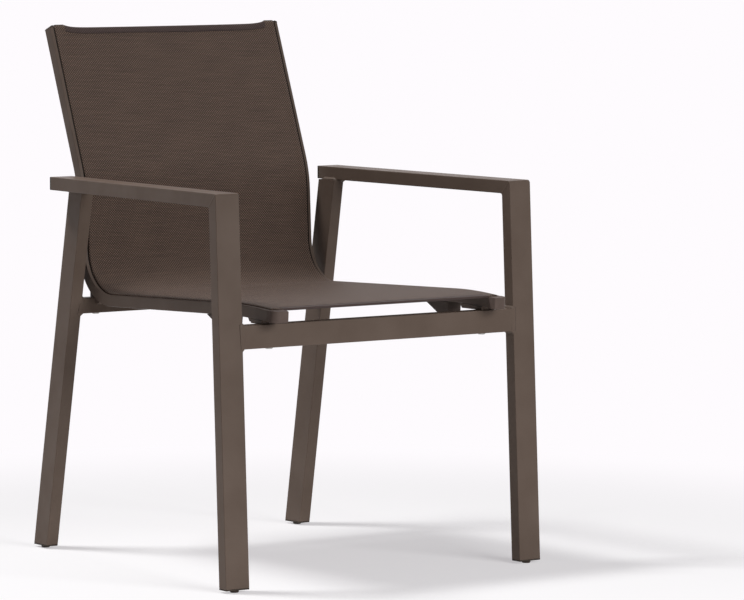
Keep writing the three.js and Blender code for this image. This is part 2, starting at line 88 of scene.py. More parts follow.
# Weld beads
bead_reach = 0.004
bead_crown = 0.0003
bead_ripple = 0.00012
bead_pitch = 0.0022
bead_wander = 160  # how fast the ripples wander along the path
bead_noise_line = (3.7, 1.1)  # the line of the noise that they are read from
bead_waver = 2  # how far its edges waver, in heights of its ripples
bead_step = 0.0008
bead_facets = 6
bead_root = 0.0012  # how deep a bead goes behind its corner
bead_tuck = 0.12  # the share of the way to that corner by which its edges dip in
bead_taper = 0.006  # over which a bead runs out at both ends of its path
bead_thin = 0.25  # how full it is at the very ends
rail_bead_share = 0.9  # of a bead's reach, along a cross rail
rail_bead_sink = 0.0001
seam_reach = 0.0018
seam_crown = 0.0002
seam_ripple = 0.5  # of a bead's ripples
seam_sink = 0.0006
seam_facets = 8
fillet_extra = 0.001  # by which the fillet in the mitre's inner corner outreaches a bead
turn_facets = 6  # of a bead round a leg's corner
side_weld_setback = 0.002  # from the rear leg's edges to the bead along the arm's inner face
side_weld_sink = 0.0006

# Sling
sling_thickness = 0.0012
sling_lift = 0.0009  # middle of the cloth above the rail's top face
sling_top_setback = 0.001
sling_slot_gap = 0.0013  # from the slot's inner wall to where the cloth turns down
sling_drop = 0.0022
sling_edge_bend = 0.0013
sling_edge_rise = 0.0007
sling_rows = 260
sling_half_columns = 30
edge_columns = 6
bend_columns = 4
seat_sag = 0.003
seat_sag_run = 0.12  # from the front edge to the full sag
back_sag = 0.0015
hip_pull = 0.006
hip_run = 0.05  # over which the sags and the pull run out at the hip
sling_flutter = 0.0003
flutter_scale = 9
top_pull = 0.03  # how far below the top edge the rails' pull on it begins
yarn_pitch = 0.0022
yarn_waver = 0.5  # how far the yarns stray, in yarns
yarn_bow = 0.45  # the share of a yarn's height that its bow gives it
# The weft's share below 1 paints it darker, as shade for lying deeper
weft_tone = 0.3  # how much of the warp's paleness the weft has

# Hems and stitches
hem_width = 0.0095  # both hems, from the sling's ends to their stitches
hem_run_out = 0.002  # beyond the stitches, where the hem thins into the cloth
hem_clearance = 0.0004  # from a hem's ends to the rails
hem_radius = 0.0021
hem_proud = 0.0004
hem_columns = 90
hem_facets = 8
hem_fold_inset = 0.4  # of its radius, from the sling's end to the middle of the fold
hem_level = 0.8  # the share of its width up to which its top is level
hem_dip = 1.5  # of hem_proud, from its top down to where it runs out
hem_under_rise = 0.6  # of its radius, from the lowest part of its underside up to the stitches
hem_top = sling_thickness / 2 + hem_proud
top_hem_dip = 0.0014  # in the middle of the sling's top edge
top_hem_rise = 0.0034  # at the rails
top_hem_run = 0.012
stitch_margin = 0.004  # from the first and last stitch to the rails
stitch_pitch = 0.0034
stitch_length = 0.0021
stitch_width = 0.0009
stitch_rise = 0.0004
stitch_shoulder = 0.4  # the share of a stitch's length along which it has its full width
stitch_top_length = 0.7  # the shares of its length and width that are left at its top
stitch_top_width = 0.6

# Top caps and the spacers' flanges
cap_fall = 0.0032
cap_fall_run = 0.012
cap_steps = 12
cap_notch = 0.0024
cap_rounding = 0.0005
flange_length = 0.03
flange_steps = 6
flange_inset = 0.0006
flange_rounding = 0.0008
rounding_facets = 3

# Small helpers


def lerp(a, b, t):
    return a + (b - a) * t


def smoothstep(t):
    t = max(0.0, min(1.0, t))
    return t * t * (3 - 2 * t)


def run_along(line):
    """The distance of each point along a line of points in a plane."""
    run = [0.0]
    for a, b in zip(line, line[1:]):
        run.append(run[-1] + math.hypot(b[0] - a[0], b[1] - a[1]))
    return run


def new_object(name, data):
    made = bpy.data.objects.new(name, data)
    bpy.context.scene.collection.objects.link(made)
    return made


def new_piece(name, points, faces, material):
    mesh = bpy.data.meshes.new(name)
    mesh.from_pydata([tuple(p) for p in points], [], faces)
    mesh.validate()
    mesh.shade_smooth()
    mesh.materials.append(material)
    piece = new_object(name, mesh)
    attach(piece, "root")
    return piece


def mirrored(points):
    return [Vector((-p.x, p.y, p.z)) for p in points]


def both_sides(name, points, faces, material):
    """The left and right piece, from the points of the left one."""
    return (
        new_piece(f"{name}_left", points, [tuple(reversed(f)) for f in faces], material),
        new_piece(f"{name}_right", mirrored(points), faces, material),
    )


def strip_faces(rings, around, closed):
    """Faces between rings of points, each ring closed, for a path that is closed or capped."""
    faces = []
    for i in range(rings if closed else rings - 1):
        a, b = i * around, (i + 1) % rings * around
        for j in range(around):
            k = (j + 1) % around
            faces.append((a + j, a + k, b + k, b + j))
    if not closed:
        faces.append(tuple(reversed(range(around))))
        faces.append(tuple((rings - 1) * around + j for j in range(around)))
    return faces


def prism_faces(first, count):
    """Faces of a prism whose lower ring of points starts at first, with its upper ring after it."""
    above = first + count
    sides = [(first + i, first + (i + 1) % count, above + (i + 1) % count, above + i) for i in range(count)]
    under = tuple(above - 1 - i for i in range(count))
    over = tuple(above + i for i in range(count))
    return sides + [under, over]


def lay_weave(piece, uvs):
    """Gives a piece the woven material's UV map, from one pair of metres for each vertex."""
    layer = piece.data.uv_layers.new(name="weave")
    for loop in piece.data.loops:
        layer.data[loop.index].uv = uvs[loop.vertex_index]


def round_edges(pieces, width):
    for piece in pieces:
        bevel = piece.modifiers.new("Rounded edges", "BEVEL")
        bevel.width = width
        bevel.segments = rounding_facets
        bevel.limit_method = "ANGLE"
        bevel.harden_normals = True


# Nodes


def add(tree, kind, **settings):
    node = tree.nodes.new(kind)
    for key, value in settings.items():
        setattr(node, key, value)
    return node


def feed(tree, node, sources):
    """Links the node's inputs to other nodes' outputs, or sets them to plain values."""
    for socket, source in sources.items():
        if isinstance(source, bpy.types.NodeSocket):
            tree.links.new(source, node.inputs[socket])
        else:
            node.inputs[socket].default_value = source


def maths(tree, operation, a, b=0.0):
    node = add(tree, "ShaderNodeMath", operation=operation)
    feed(tree, node, {0: a, 1: b})
    return node.outputs[0]


def plus_share(tree, a, b, share):
    """The sum of a and a share of b."""
    return maths(tree, "ADD", a, maths(tree, "MULTIPLY", b, share))


def noise_value(tree, place, scale, detail, roughness=0.5):
    node = add(tree, "ShaderNodeTexNoise")
    feed(tree, node, {"Vector": place, "Scale": scale, "Detail": detail, "Roughness": roughness})
    return node.outputs["Fac"]


def spread(tree, value, low, high, from_low=0.3, from_high=0.7):
    """A noise value as a number between low and high."""
    node = add(tree, "ShaderNodeMapRange")
    feed(tree, node, {
        "Value": value,
        "From Min": from_low,
        "From Max": from_high,
        "To Min": low,
        "To Max": high,
    })
    return node.outputs["Result"]


def stretched(tree, place, scale):
    node = add(tree, "ShaderNodeMapping")
    feed(tree, node, {"Vector": place, "Scale": scale})
    return node.outputs["Vector"]


def object_place(tree):
    return add(tree, "ShaderNodeTexCoord").outputs["Object"]


def srgb(byte):
    c = byte / 255
    return c / 12.92 if c <= 0.04045 else ((c + 0.055) / 1.055) ** 2.4


def linear(colour):
    """An sRGB triple in bytes as an opaque linear colour."""
    return (*[srgb(byte) for byte in colour], 1)


def grey(level):
    return (level, level, level, 1)


def tinted(tree, value, low, high):
    """A colour between two sRGB triples in bytes."""
    node = add(tree, "ShaderNodeValToRGB")
    for element, colour in zip(node.color_ramp.elements, (low, high)):
        element.color = linear(colour)
    feed(tree, node, {"Fac": value})
    return node.outputs["Color"]


def bumped(tree, height, strength, distance):
    node = add(tree, "ShaderNodeBump")
    feed(tree, node, {"Height": height, "Strength": strength, "Distance": distance})
    return node.outputs["Normal"]


def summed(tree, first, second):
    node = add(tree, "ShaderNodeAddShader")
    feed(tree, node, {0: first, 1: second})
    return node.outputs[0]


def mixed(tree, share, first, second):
    node = add(tree, "ShaderNodeMixShader")
    feed(tree, node, {0: share, 1: first, 2: second})
    return node.outputs[0]


# Materials

coat_specular = 0.12
fleck_share = 0.3  # how much the flecks count in a powder coat's tone and in its peel


def material_nodes(name):
    material = bpy.data.materials.new(name)
    material.use_nodes = True
    tree = material.node_tree
    return material, tree, tree.nodes["Principled BSDF"]


def powder_coat(name, low, high, gloss):
    """Satin powder coat: fine orange peel, faint cloudiness and flecks."""
    material, tree, shader = material_nodes(name)
    place = object_place(tree)
    clouds = noise_value(tree, place, scale=14, detail=3)
    flecks = noise_value(tree, place, scale=2600, detail=1)
    tone = plus_share(tree, maths(tree, "MULTIPLY", clouds, 1 - fleck_share), flecks, fleck_share)
    peel = plus_share(tree, noise_value(tree, place, scale=900, detail=2), flecks, fleck_share)
    feed(tree, shader, {
        "Base Color": tinted(tree, spread(tree, tone, 0, 1, from_low=0.35, from_high=0.65), low, high),
        "Roughness": spread(tree, noise_value(tree, place, scale=45, detail=2), *gloss),
        "Specular IOR Level": coat_specular,
        "Normal": bumped(tree, peel, strength=0.25, distance=0.0002),
    })
    return material


def moulded_plastic(name, low, high, gloss, grain_scale):
    """Moulded plastic with a fine grain."""
    material, tree, shader = material_nodes(name)
    place = object_place(tree)
    clouds = noise_value(tree, place, scale=60, detail=3)
    grain = noise_value(tree, place, grain_scale, detail=3, roughness=0.65)
    feed(tree, shader, {
        "Base Color": tinted(tree, spread(tree, clouds, 0, 1), low, high),
        "Roughness": spread(tree, noise_value(tree, place, scale=300, detail=2), *gloss),
        "Specular IOR Level": coat_specular,
        "Normal": bumped(tree, grain, strength=0.5, distance=0.0002),
    })
    return material


def brushed_steel(name):
    material, tree, shader = material_nodes(name)
    brush = noise_value(tree, stretched(tree, object_place(tree), (1, 12, 1)), scale=900, detail=3)
    feed(tree, shader, {
        "Base Color": tinted(tree, spread(tree, brush, 0, 1), (150, 148, 144), (190, 188, 184)),
        "Roughness": spread(tree, brush, 0.25, 0.42),
        "Metallic": 1,
        "Normal": bumped(tree, brush, strength=0.2, distance=0.0001),
    })
    return material


def woven_mesh(name, gap, crown):
    """Plain weave of coated yarn. The UV map is in metres: u across the chair, v along the sling."""
    material, tree, shader = material_nodes(name)
    uv = add(tree, "ShaderNodeUVMap", uv_map="weave").outputs["UV"]
    waver = noise_value(tree, uv, scale=90, detail=1)
    split = add(tree, "ShaderNodeSeparateXYZ")
    feed(tree, split, {"Vector": uv})

    def yarn_count(metres):
        return plus_share(tree, maths(tree, "DIVIDE", metres, yarn_pitch), waver, yarn_waver)

    def ridge(count):
        return maths(tree, "SINE", maths(tree, "MULTIPLY", maths(tree, "FRACT", count), math.pi))

    def yarn(over, ridge_beside, ridge_along_it):
        """A yarn's height where it lies on top: round across, and bowed along its length."""
        bow = plus_share(tree, 1 - yarn_bow, ridge_along_it, yarn_bow)
        return maths(tree, "MULTIPLY", over, maths(tree, "MULTIPLY", ridge_beside, bow))

    across, along = yarn_count(split.outputs["X"]), yarn_count(split.outputs["Y"])
    ridge_across, ridge_along = ridge(across), ridge(along)
    cell = maths(tree, "ADD", maths(tree, "FLOOR", across), maths(tree, "FLOOR", along))
    warp_over = maths(tree, "FLOORED_MODULO", cell, 2.0)
    weft_over = maths(tree, "SUBTRACT", 1.0, warp_over)
    warp = yarn(warp_over, ridge_across, ridge_along)
    weft = yarn(weft_over, ridge_along, ridge_across)

    # Painted shade: the colour follows the yarns' height, from the gap colour in the hollows between them to
    # the crown colour on their tops. The weft shows darker than the warp, as painted shade for lying deeper,
    # and single picks are a little uneven
    picks = stretched(tree, uv, (12, 1 / yarn_pitch, 1))
    uneven = spread(tree, noise_value(tree, picks, scale=1, detail=1), -0.05, 0.05)
    clouds = spread(tree, noise_value(tree, uv, scale=25, detail=3), -0.02, 0.02)
    tone = maths(tree, "ADD", plus_share(tree, warp, weft, weft_tone), maths(tree, "ADD", uneven, clouds))
    feed(tree, shader, {
        "Base Color": tinted(tree, tone, gap, crown),
        "Roughness": 0.6,
        "Specular IOR Level": 0.2,
        "Sheen Weight": 0.05,
        "Sheen Roughness": 0.5,
        "Normal": bumped(tree, maths(tree, "ADD", warp, weft), strength=0.8, distance=0.0005),
    })
    return material


frame_coat = powder_coat("frame_coat", (93, 79, 70), (102, 88, 79), (0.4, 0.5))
rail_coat = powder_coat("rail_coat", (88, 75, 67), (97, 84, 76), (0.42, 0.52))
cap_plastic = moulded_plastic("cap_plastic", (58, 50, 44), (68, 60, 53), (0.45, 0.6), 2400)
nose_plastic = moulded_plastic("nose_plastic", (90, 77, 71), (98, 84, 78), (0.45, 0.6), 2400)
spline_plastic = moulded_plastic("spline_plastic", (30, 27, 25), (40, 36, 33), (0.5, 0.65), 1800)
pad_plastic = moulded_plastic("pad_plastic", (66, 57, 52), (78, 68, 63), (0.5, 0.65), 2000)
bolt_steel = brushed_steel("bolt_steel")
# In both weaves the first colour is painted shade in the hollows between the yarns, and the second is the
# colour of the yarns' tops
sling_mesh = woven_mesh("sling_mesh", (4, 3, 2), (135, 110, 95))
hem_mesh = woven_mesh("hem_mesh", (36, 28, 26), (100, 81, 76))
sewing_thread = moulded_plastic("sewing_thread", (38, 33, 30), (60, 53, 48), (0.5, 0.7), 3000)
slot_materials = {
    "frame_coat": frame_coat,
    "rail_coat": rail_coat,
    "cap_plastic": cap_plastic,
    "spline_plastic": spline_plastic,
    "pad_plastic": pad_plastic,
    "bolt_steel": bolt_steel,
    "sling_mesh": sling_mesh,
}

# CAD nodes: the record's slots name their materials, and modifiers smooth their shading


def soft_corner_group():
    """Welds the mesh and shades it smooth, apart from its sharp edges."""
    group = bpy.data.node_groups.new("soft_corners", "GeometryNodeTree")
    group.interface.new_socket("Geometry", in_out="INPUT", socket_type="NodeSocketGeometry")
    group.interface.new_socket("Geometry", in_out="OUTPUT", socket_type="NodeSocketGeometry")
    entry = add(group, "NodeGroupInput")
    weld = add(group, "GeometryNodeMergeByDistance")
    smooth = add(group, "GeometryNodeSetShadeSmooth", domain="FACE")
    sharp = add(group, "GeometryNodeSetShadeSmooth", domain="EDGE")
    angle = add(group, "GeometryNodeInputMeshEdgeAngle")
    corner = add(group, "FunctionNodeCompare", operation="GREATER_THAN")
    leave = add(group, "NodeGroupOutput")
    feed(group, weld, {"Geometry": entry.outputs["Geometry"], "Distance": merge_distance})
    feed(group, smooth, {"Geometry": weld.outputs["Geometry"]})
    feed(group, corner, {"A": angle.outputs["Unsigned Angle"], "B": sharp_turn})
    feed(group, sharp, {
        "Geometry": smooth.outputs["Geometry"],
        "Selection": corner.outputs["Result"],
        "Shade Smooth": False,
    })
    feed(group, leave, {"Geometry": sharp.outputs["Geometry"]})
    return group


def soften(node, group):
    corners = node.modifiers.new("Soft corners", "NODES")
    corners.node_group = group
    weighted = node.modifiers.new("Weighted normals", "WEIGHTED_NORMAL")
    weighted.keep_sharp = True
    weighted.weight = face_weight


corner_group = soft_corner_group()
for part in frame["record"]["subparts"]:
    node = nodes[part["node"]]
    node.data.materials.clear()
    node.data.materials.append(slot_materials[part["material_slot"]])
    if part["node"] != "sling":
        soften(node, corner_group)
for side in ("left", "right"):
    nodes[f"nose_cap_{side}"].data.materials[0] = nose_plastic

# Places on the left side frame

toe_cos = math.cos(side_frame_toe)
toe_sin = math.sin(side_frame_toe)
_, arm_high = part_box("armrest_left")
frame_y = arm_high.y - arm_tube_length * toe_cos


def on_chair(x, y, z):
    """A place from the left side frame: x inboard from the arm's outer face, y back from the arm's front."""
    return Vector((x * toe_cos + y * toe_sin - overall_width / 2, y * toe_cos - x * toe_sin + frame_y, z))


def rounded_outline(width, depth):
    """Points and outward normals round a tube's outline from (0, 0), about a bead step apart."""
    points = []
    radius = tube_corner_radius
    quarter = math.pi / 2
    corners = [
        (radius, radius, 2 * quarter),
        (width - radius, radius, 3 * quarter),
        (width - radius, depth - radius, 0),
        (radius, depth - radius, quarter),
    ]
    turns = max(3, round(radius * quarter / bead_step))
    for i, (x, y, start) in enumerate(corners):
        for j in range(turns + 1):
            angle = start + quarter * j / turns
            normal = Vector((math.cos(angle), math.sin(angle)))
            points.append((Vector((x, y)) + normal * radius, normal))
        next_x, next_y, next_start = corners[(i + 1) % 4]
        normal = Vector((math.cos(next_start), math.sin(next_start)))
        here, there = points[-1][0], Vector((next_x, next_y)) + normal * radius
        steps = max(1, round((there - here).length / bead_step))
        points += [(here.lerp(there, j / steps), normal) for j in range(1, steps)]
    return points


def ripple(distance):
    """The height of a weld's ripples along its path."""
    wander = noise.noise(Vector((distance * bead_wander, *bead_noise_line)))
    return bead_ripple * (0.5 + 0.5 * math.sin(2 * math.pi * distance / bead_pitch + 2 * wander))


def reach_at(distance):
    """A bead's reach along its path, which wavers with its ripples."""
    return bead_reach + ripple(distance) * bead_waver


def bead_section(a, b, corner, outward, crown):
    """A closed section: from a to b over a crown, and back under the surfaces through the corner."""
    chord = (b - a).normalized()
    rise = (outward - chord * outward.dot(chord)).normalized()
    ring = [a.lerp(corner, bead_tuck)]
    for i in range(bead_facets + 1):
        t = i / bead_facets
        ring.append(a.lerp(b, t) + rise * crown * 4 * t * (1 - t))
    ring.append(b.lerp(corner, bead_tuck))
    ring.append(corner - outward * bead_root)
    return ring


def weld_pair(name, places, rings, closed):
    """A weld and its mirror image, from rings of places on the left side of the chair."""
    faces = strip_faces(rings, len(places) // rings, closed)
    both_sides(name, places, faces, frame_coat)


def front_leg_front(z):
    return -(arm_height - z) * math.tan(front_leg_rake)


def rear_leg_front(z):
    return rear_leg_reach + (arm_underside - z) * math.tan(rear_leg_rake)


def front_leg_face(z):
    """The front leg stands upright from side to side, so its inner face is the same at every height."""
    return tube_broad


def rear_leg_face(z):
    return rear_leg_inset + tube_narrow - (arm_underside - z) * math.tan(rear_leg_splay)


def on_leg(x_face, y, z, y_front, y_rear):
    """A place on a leg's inner face, carried round the leg's rounded edges where y runs past them."""
    r = tube_corner_radius
    for edge, way in ((y_front + r, -1), (y_rear - r, 1)):
        past = (y - edge) * way
        if past > 0:
            angle = min(past / r, math.pi / 2)
            beyond = max(past - r * math.pi / 2, 0)
            return (x_face - r + r * math.cos(angle) - beyond, edge + way * r * math.sin(angle), z)
    return (x_face, y, z)


def rail_weld(name, rail, leg_face, leg_front, leg_depth):
    """Fillet round the end of a cross rail, where it meets the left leg's inner face."""
    low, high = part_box(rail)
    outline = rounded_outline(high.z - low.z, tube_narrow)
    places, distance, before = [], 0.0, None
    for point, normal in outline:
        z = high.z - point.x
        y = low.y + point.y
        x_side = leg_face(z)
        y_side = ((y - frame_y) + x_side * toe_sin) / toe_cos
        corner = on_chair(x_side, y_side, z)
        distance += (corner - before).length if before else 0.0
        before = corner
        reach = reach_at(distance)
        z_leg = z - normal.x * reach
        front = leg_front(z_leg)
        place = on_leg(leg_face(z_leg), y_side + normal.y * reach, z_leg, front, front + leg_depth)
        outward = Vector((1, normal.y, -normal.x)).normalized()
        sunk = Vector((0, normal.y, -normal.x)) * rail_bead_sink
        along_rail = corner + Vector((reach * rail_bead_share, 0, 0)) - sunk
        places += bead_section(on_chair(*place), along_rail, corner, outward, bead_crown + ripple(distance))
    weld_pair(name, places, len(outline), closed=True)


def edge_rounded(place):
    """A place of the side frame drawn in to the rounding of the edge that arm and front leg share."""
    r = arm_corner_radius
    centre_y = r / math.cos(front_leg_rake) - r * math.tan(front_leg_rake)
    centre_z = arm_height - r
    out = Vector((0, place.y - centre_y, place.z - centre_z))
    if out.y < 0 < out.z and out.length > r:
        pulled = out.normalized() * r
        return Vector((place.x, centre_y + pulled.y, centre_z + pulled.z))
    return place


def ground_back(place):
    """A place of the side frame drawn in to the rounding ground on the arm's front corners."""
    centre = Vector((
        min(max(place.x, arm_grind_inset), tube_broad - arm_grind_inset),
        max(place.y, arm_grind_inset),
        min(place.z, arm_height - arm_grind_inset),
    ))
    out = place - centre
    if abs(out.x) > 0 and out.y < 0 < out.z and out.length > arm_grind_radius:
        return centre + out.normalized() * arm_grind_radius
    return place


def mitre_weld():
    """Ground seam round the mitre of arm and front leg, with a fillet in the inner corner."""
    outline = rounded_outline(tube_broad, tube_narrow)
    leg_down = Vector((0, -math.tan(front_leg_rake), -1))
    arm_back = Vector((0, 1, 0))
    inner_way = Vector((0, 1, -1)).normalized()
    places, distance, before = [], 0.0, None
    for point, normal in outline:
        depth = point.y
        corner = Vector((point.x, depth * (1 - math.tan(front_leg_rake)), arm_height - depth))
        distance += (corner - before).length if before else 0.0
        before = corner
        inner = max(normal.y, 0.0)
        reach = lerp(seam_reach, bead_reach + fillet_extra, inner)
        on_arm, on_leg_side = corner + arm_back * reach, corner + leg_down * reach
        outward = (Vector((normal.x, 0, 0)) + inner_way * normal.y).normalized()
        ring = []
        for i in range(seam_facets + 1):
            t = i / seam_facets
            w = 2 * i / seam_facets - 1
            kinked = corner + (arm_back * w if w > 0 else leg_down * -w) * reach
            filled = on_leg_side * (1 - t) ** 2 + corner * 2 * t * (1 - t) + on_arm * t * t
            crown = (seam_crown + ripple(distance) * seam_ripple) * (1 - w * w)
            ring.append(ground_back(edge_rounded(kinked.lerp(filled, inner))) + outward * crown)
        ring.append(ring[-1] - outward * seam_sink)
        ring.append(ground_back(corner) - outward * seam_sink * 2)
        ring.append(ring[0] - outward * seam_sink)
        places += [on_chair(*p) for p in ring]
    weld_pair("arm_corner_weld", places, len(outline), closed=True)


def tapered(distance, length):
    """How full a weld is, which runs out at both ends of its path."""
    return lerp(bead_thin, 1.0, smoothstep(min(distance, length - distance) / bead_taper))


def open_weld(name, path):
    """A weld along a path of (corner, way along one surface, way along the other) on the left side frame."""
    length = sum((b[0] - a[0]).length for a, b in zip(path, path[1:]))
    places, distance = [], 0.0
    for i, (corner, way_a, way_b) in enumerate(path):
        distance += (corner - path[i - 1][0]).length if i else 0.0
        full = tapered(distance, length)
        a, b = [corner + way * (reach_at(distance) * full) for way in (way_a, way_b)]
        outward = (way_a + way_b).normalized()
        ring = bead_section(a, b, corner, outward, (bead_crown + ripple(distance)) * full)
        places += [on_chair(*p) for p in ring]
    weld_pair(name, places, len(path), closed=False)


def arm_under_weld():
    """Under the arm, round the three sides of the rear leg that lie below it."""
    x0, x1 = rear_leg_inset, tube_broad - tube_corner_radius
    y0, y1 = rear_leg_reach, rear_leg_reach + tube_broad
    r = tube_corner_radius
    turn = [math.pi / 2 * i / turn_facets for i in range(turn_facets + 1)]
    steps = round((x1 - x0 - r) / bead_step)
    side_steps = round((y1 - y0 - 2 * r) / bead_step)
    line = [(lerp(x1, x0 + r, i / steps), y0, 0, -1) for i in range(steps)]
    line += [(x0 + r - r * math.sin(a), y0 + r - r * math.cos(a), -math.sin(a), -math.cos(a)) for a in turn]
    line += [(x0, lerp(y0 + r, y1 - r, i / side_steps), -1, 0) for i in range(1, side_steps)]
    line += [(x0 + r - r * math.cos(a), y1 - r + r * math.sin(a), -math.cos(a), math.sin(a)) for a in turn]
    line += [(lerp(x0 + r, x1, i / steps), y1, 0, 1) for i in range(1, steps + 1)]
    down_leg = Vector((-math.tan(rear_leg_splay), math.tan(rear_leg_rake), -1))
    path = [(Vector((x, y, arm_underside)), Vector((nx, ny, 0)), down_leg) for x, y, nx, ny in line]
    open_weld("arm_under_weld", path)


def arm_side_weld():
    """Along the arm's inner face, on the part of the rear leg's top that stands proud of it."""
    x = tube_broad - side_weld_sink
    y0 = rear_leg_reach + side_weld_setback
    y1 = rear_leg_reach + tube_broad - side_weld_setback
    steps = round((y1 - y0) / bead_step)
    up, inboard = Vector((0, 0, 1)), Vector((1, 0, 0))
    path = [(Vector((x, lerp(y0, y1, i / steps), arm_underside)), up, inboard) for i in range(steps + 1)]
    open_weld("arm_side_weld", path)


rail_weld("front_rail_weld", "front_rail", front_leg_face, front_leg_front, tube_narrow)
rail_weld("rear_rail_weld", "rear_rail", rear_leg_face, rear_leg_front, tube_broad)
mitre_weld()
arm_under_weld()
arm_side_weld()

# The sling's line: the rail's top face in the (y, z) plane, by the distance along it

rail_low, rail_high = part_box("sling_rail_left")
half_shell = -rail_low.x
rail_inner = half_shell - rail_width
nose_heading = nose_turn - seat_rise


def rail_runs(seat_length):
    """Straights and arcs of the rail's line as (length, radius, turn), from the nose to the top."""
    upright = math.pi / 2 - lumbar_lean
    reclined = math.pi / 2 - back_recline
    return [
        (nose_tip, 0, 0),
        (nose_radius * nose_turn, nose_radius, -nose_turn),
        (seat_length, 0, 0),
        (hip_radius * (upright + seat_rise), hip_radius, upright + seat_rise),
        (lumbar_length, 0, 0),
        (crook_radius * (upright - reclined), crook_radius, reclined - upright),
        (upper_back_length, 0, 0),
    ]


def walk(line, distance, y=0.0, z=0.0):
    """(y, z, heading) at a distance along a line of such runs, and straight on past its end."""
    heading = nose_heading
    for length, radius, turn in line:
        here = min(distance, length)
        if radius:
            angle = turn * here / length
            reach = math.copysign(radius, turn)
            y += reach * (math.sin(heading + angle) - math.sin(heading))
            z -= reach * (math.cos(heading + angle) - math.cos(heading))
            heading += angle
        else:
            y += here * math.cos(heading)
            z += here * math.sin(heading)
        distance -= here
        if distance <= 0:
            return y, z, heading
    return y + distance * math.cos(heading), z + distance * math.sin(heading), heading


def whole(line):
    return sum(length for length, _, _ in line)


# The seat's straight and the nose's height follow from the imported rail's box
folded = rail_runs(0.0)
last_y, _, _ = walk(folded, whole(folded))
back_foot = rail_depth * math.cos(back_recline)
runs = rail_runs((rail_high.y - rail_low.y - back_foot - last_y) / math.cos(seat_rise))
rail_length = whole(runs)
nose_y = rail_low.y
nose_z = rail_high.z - walk(runs, rail_length)[1]
hip_start = whole(runs[:3])
hip_end = whole(runs[:4])


def off_rail(x, distance, lift):
    """A place at x across the chair, a distance along the rails' line and a lift above it."""
    y, z, heading = walk(runs, distance, nose_y, nose_z)
    return Vector((x, y - lift * math.sin(heading), z + lift * math.cos(heading)))


# Sling, hems and stitches


def slack(x):
    """How free the cloth is to leave the rails' line: 1 in the middle of the chair, 0 at the rails."""
    return max(0.0, 1 - (x / rail_inner) ** 2)


def hollow(distance):
    """How far the middle of the sling lies below the rails' top faces."""
    before_hip = 1 - smoothstep((distance - hip_start + hip_run) / hip_run)
    seat = seat_sag * smoothstep(distance / seat_sag_run) * before_hip
    back = back_sag * smoothstep((distance - hip_end) / hip_run)
    middle = (hip_start + hip_end) / 2
    hip = math.exp(-(((distance - middle) / hip_run) ** 2))
    return seat + back - hip_pull * hip


def on_sling(x, distance, lift):
    """A place in the stretched cloth between the rails, or a lift above it."""
    return off_rail(x, distance, sling_lift + lift - hollow(distance) * slack(x))


def top_edge(x):
    """How far the rails' pull lifts the sling's top edge, which dips in its middle."""
    beside = max(0.0, rail_inner - abs(x))
    return lerp(-top_hem_dip, top_hem_rise, math.exp(-beside / top_hem_run))


def sling_section():
    """The sling's section as (x, lift) from edge to edge, turned down at the rails' slots."""
    edge = half_shell - slot_inset - slot_mouth / 2 - sling_slot_gap
    columns = range(-sling_half_columns, sling_half_columns + 1)
    middle = [(rail_inner * (i / sling_half_columns), 0.0) for i in columns]
    flat = [
        (lerp(rail_inner, edge, i / edge_columns), sling_edge_rise * smoothstep(i / edge_columns) ** 2)
        for i in range(1, edge_columns + 1)
    ]
    bend = [
        (edge + sling_edge_bend * math.sin(a), sling_edge_rise + sling_edge_bend * (math.cos(a) - 1))
        for a in (math.pi / 2 * i / bend_columns for i in range(1, bend_columns + 1))
    ]
    drop = [(edge + sling_edge_bend, bend[-1][1] - sling_drop * i / 2) for i in (1, 2)]
    right = flat + bend + drop
    left = [(-x, lift) for x, lift in reversed(right)]
    return left + middle + right


def make_sling():
    length = rail_length - sling_top_setback
    section = sling_section()
    run = run_along(section)
    points, uvs = [], []
    for i in range(sling_rows + 1):
        s = length * i / sling_rows
        sag = hollow(s)
        pull = smoothstep((s - length + top_pull) / top_pull)
        for (x, lift), u in zip(section, run):
            share = slack(x)
            flutter = sling_flutter * share * noise.noise(Vector((x * flutter_scale, s * flutter_scale, 0)))
            distance = s + top_edge(x) * pull
            points.append(off_rail(x, distance, sling_lift + lift - sag * share + flutter))
            uvs.append((u, distance))
    wide = len(section)
    faces = [
        (i * wide + j, i * wide + j + 1, (i + 1) * wide + j + 1, (i + 1) * wide + j)
        for i in range(sling_rows)
        for j in range(wide - 1)
    ]
    sling = new_piece("sling_cloth", points, faces, sling_mesh)
    lay_weave(sling, uvs)
    shell = sling.modifiers.new("Thickness", "SOLIDIFY")
    shell.thickness = sling_thickness
    shell.offset = 0
    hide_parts("sling")
    make_hem("front_hem", 0.0, 1)
    make_hem("top_hem", length, -1)
    make_stitches(length)


def hem_section():
    """A hem's section as (distance from the sling's end, lift): over the cloth, round its end and under."""
    under = hem_top - 2 * hem_radius
    last = hem_width + hem_run_out
    section = [(last, hem_top - hem_proud * hem_dip), (hem_width * hem_level, hem_top)]
    section.append((hem_radius * 2, hem_top))
    for i in range(hem_facets + 1):
        angle = math.pi * i / hem_facets
        back = hem_radius * (hem_fold_inset - math.sin(angle))
        section.append((back, hem_top - hem_radius * (1 - math.cos(angle))))
    return section + [(hem_radius * 3, under), (hem_width, under + hem_radius * hem_under_rise), (last, 0.0)]


def make_hem(name, end, way):
    """The cloth turned under at one end of the sling; way is 1 where the sling goes on upwards from it."""
    reach = rail_inner - hem_clearance
    section = hem_section()
    run = run_along(section)
    points, uvs = [], []
    for i in range(hem_columns + 1):
        x = -reach * math.cos(math.pi * i / hem_columns)
        edge = end if way > 0 else end + top_edge(x)
        points += [on_sling(x, edge + way * back, lift) for back, lift in section]
        uvs += [(x, v) for v in run]
    faces = strip_faces(hem_columns + 1, len(section), closed=False)
    if way < 0:
        faces = [tuple(reversed(face)) for face in faces]
    hem = new_piece(name, points, faces, hem_mesh)
    lay_weave(hem, uvs)
    return hem


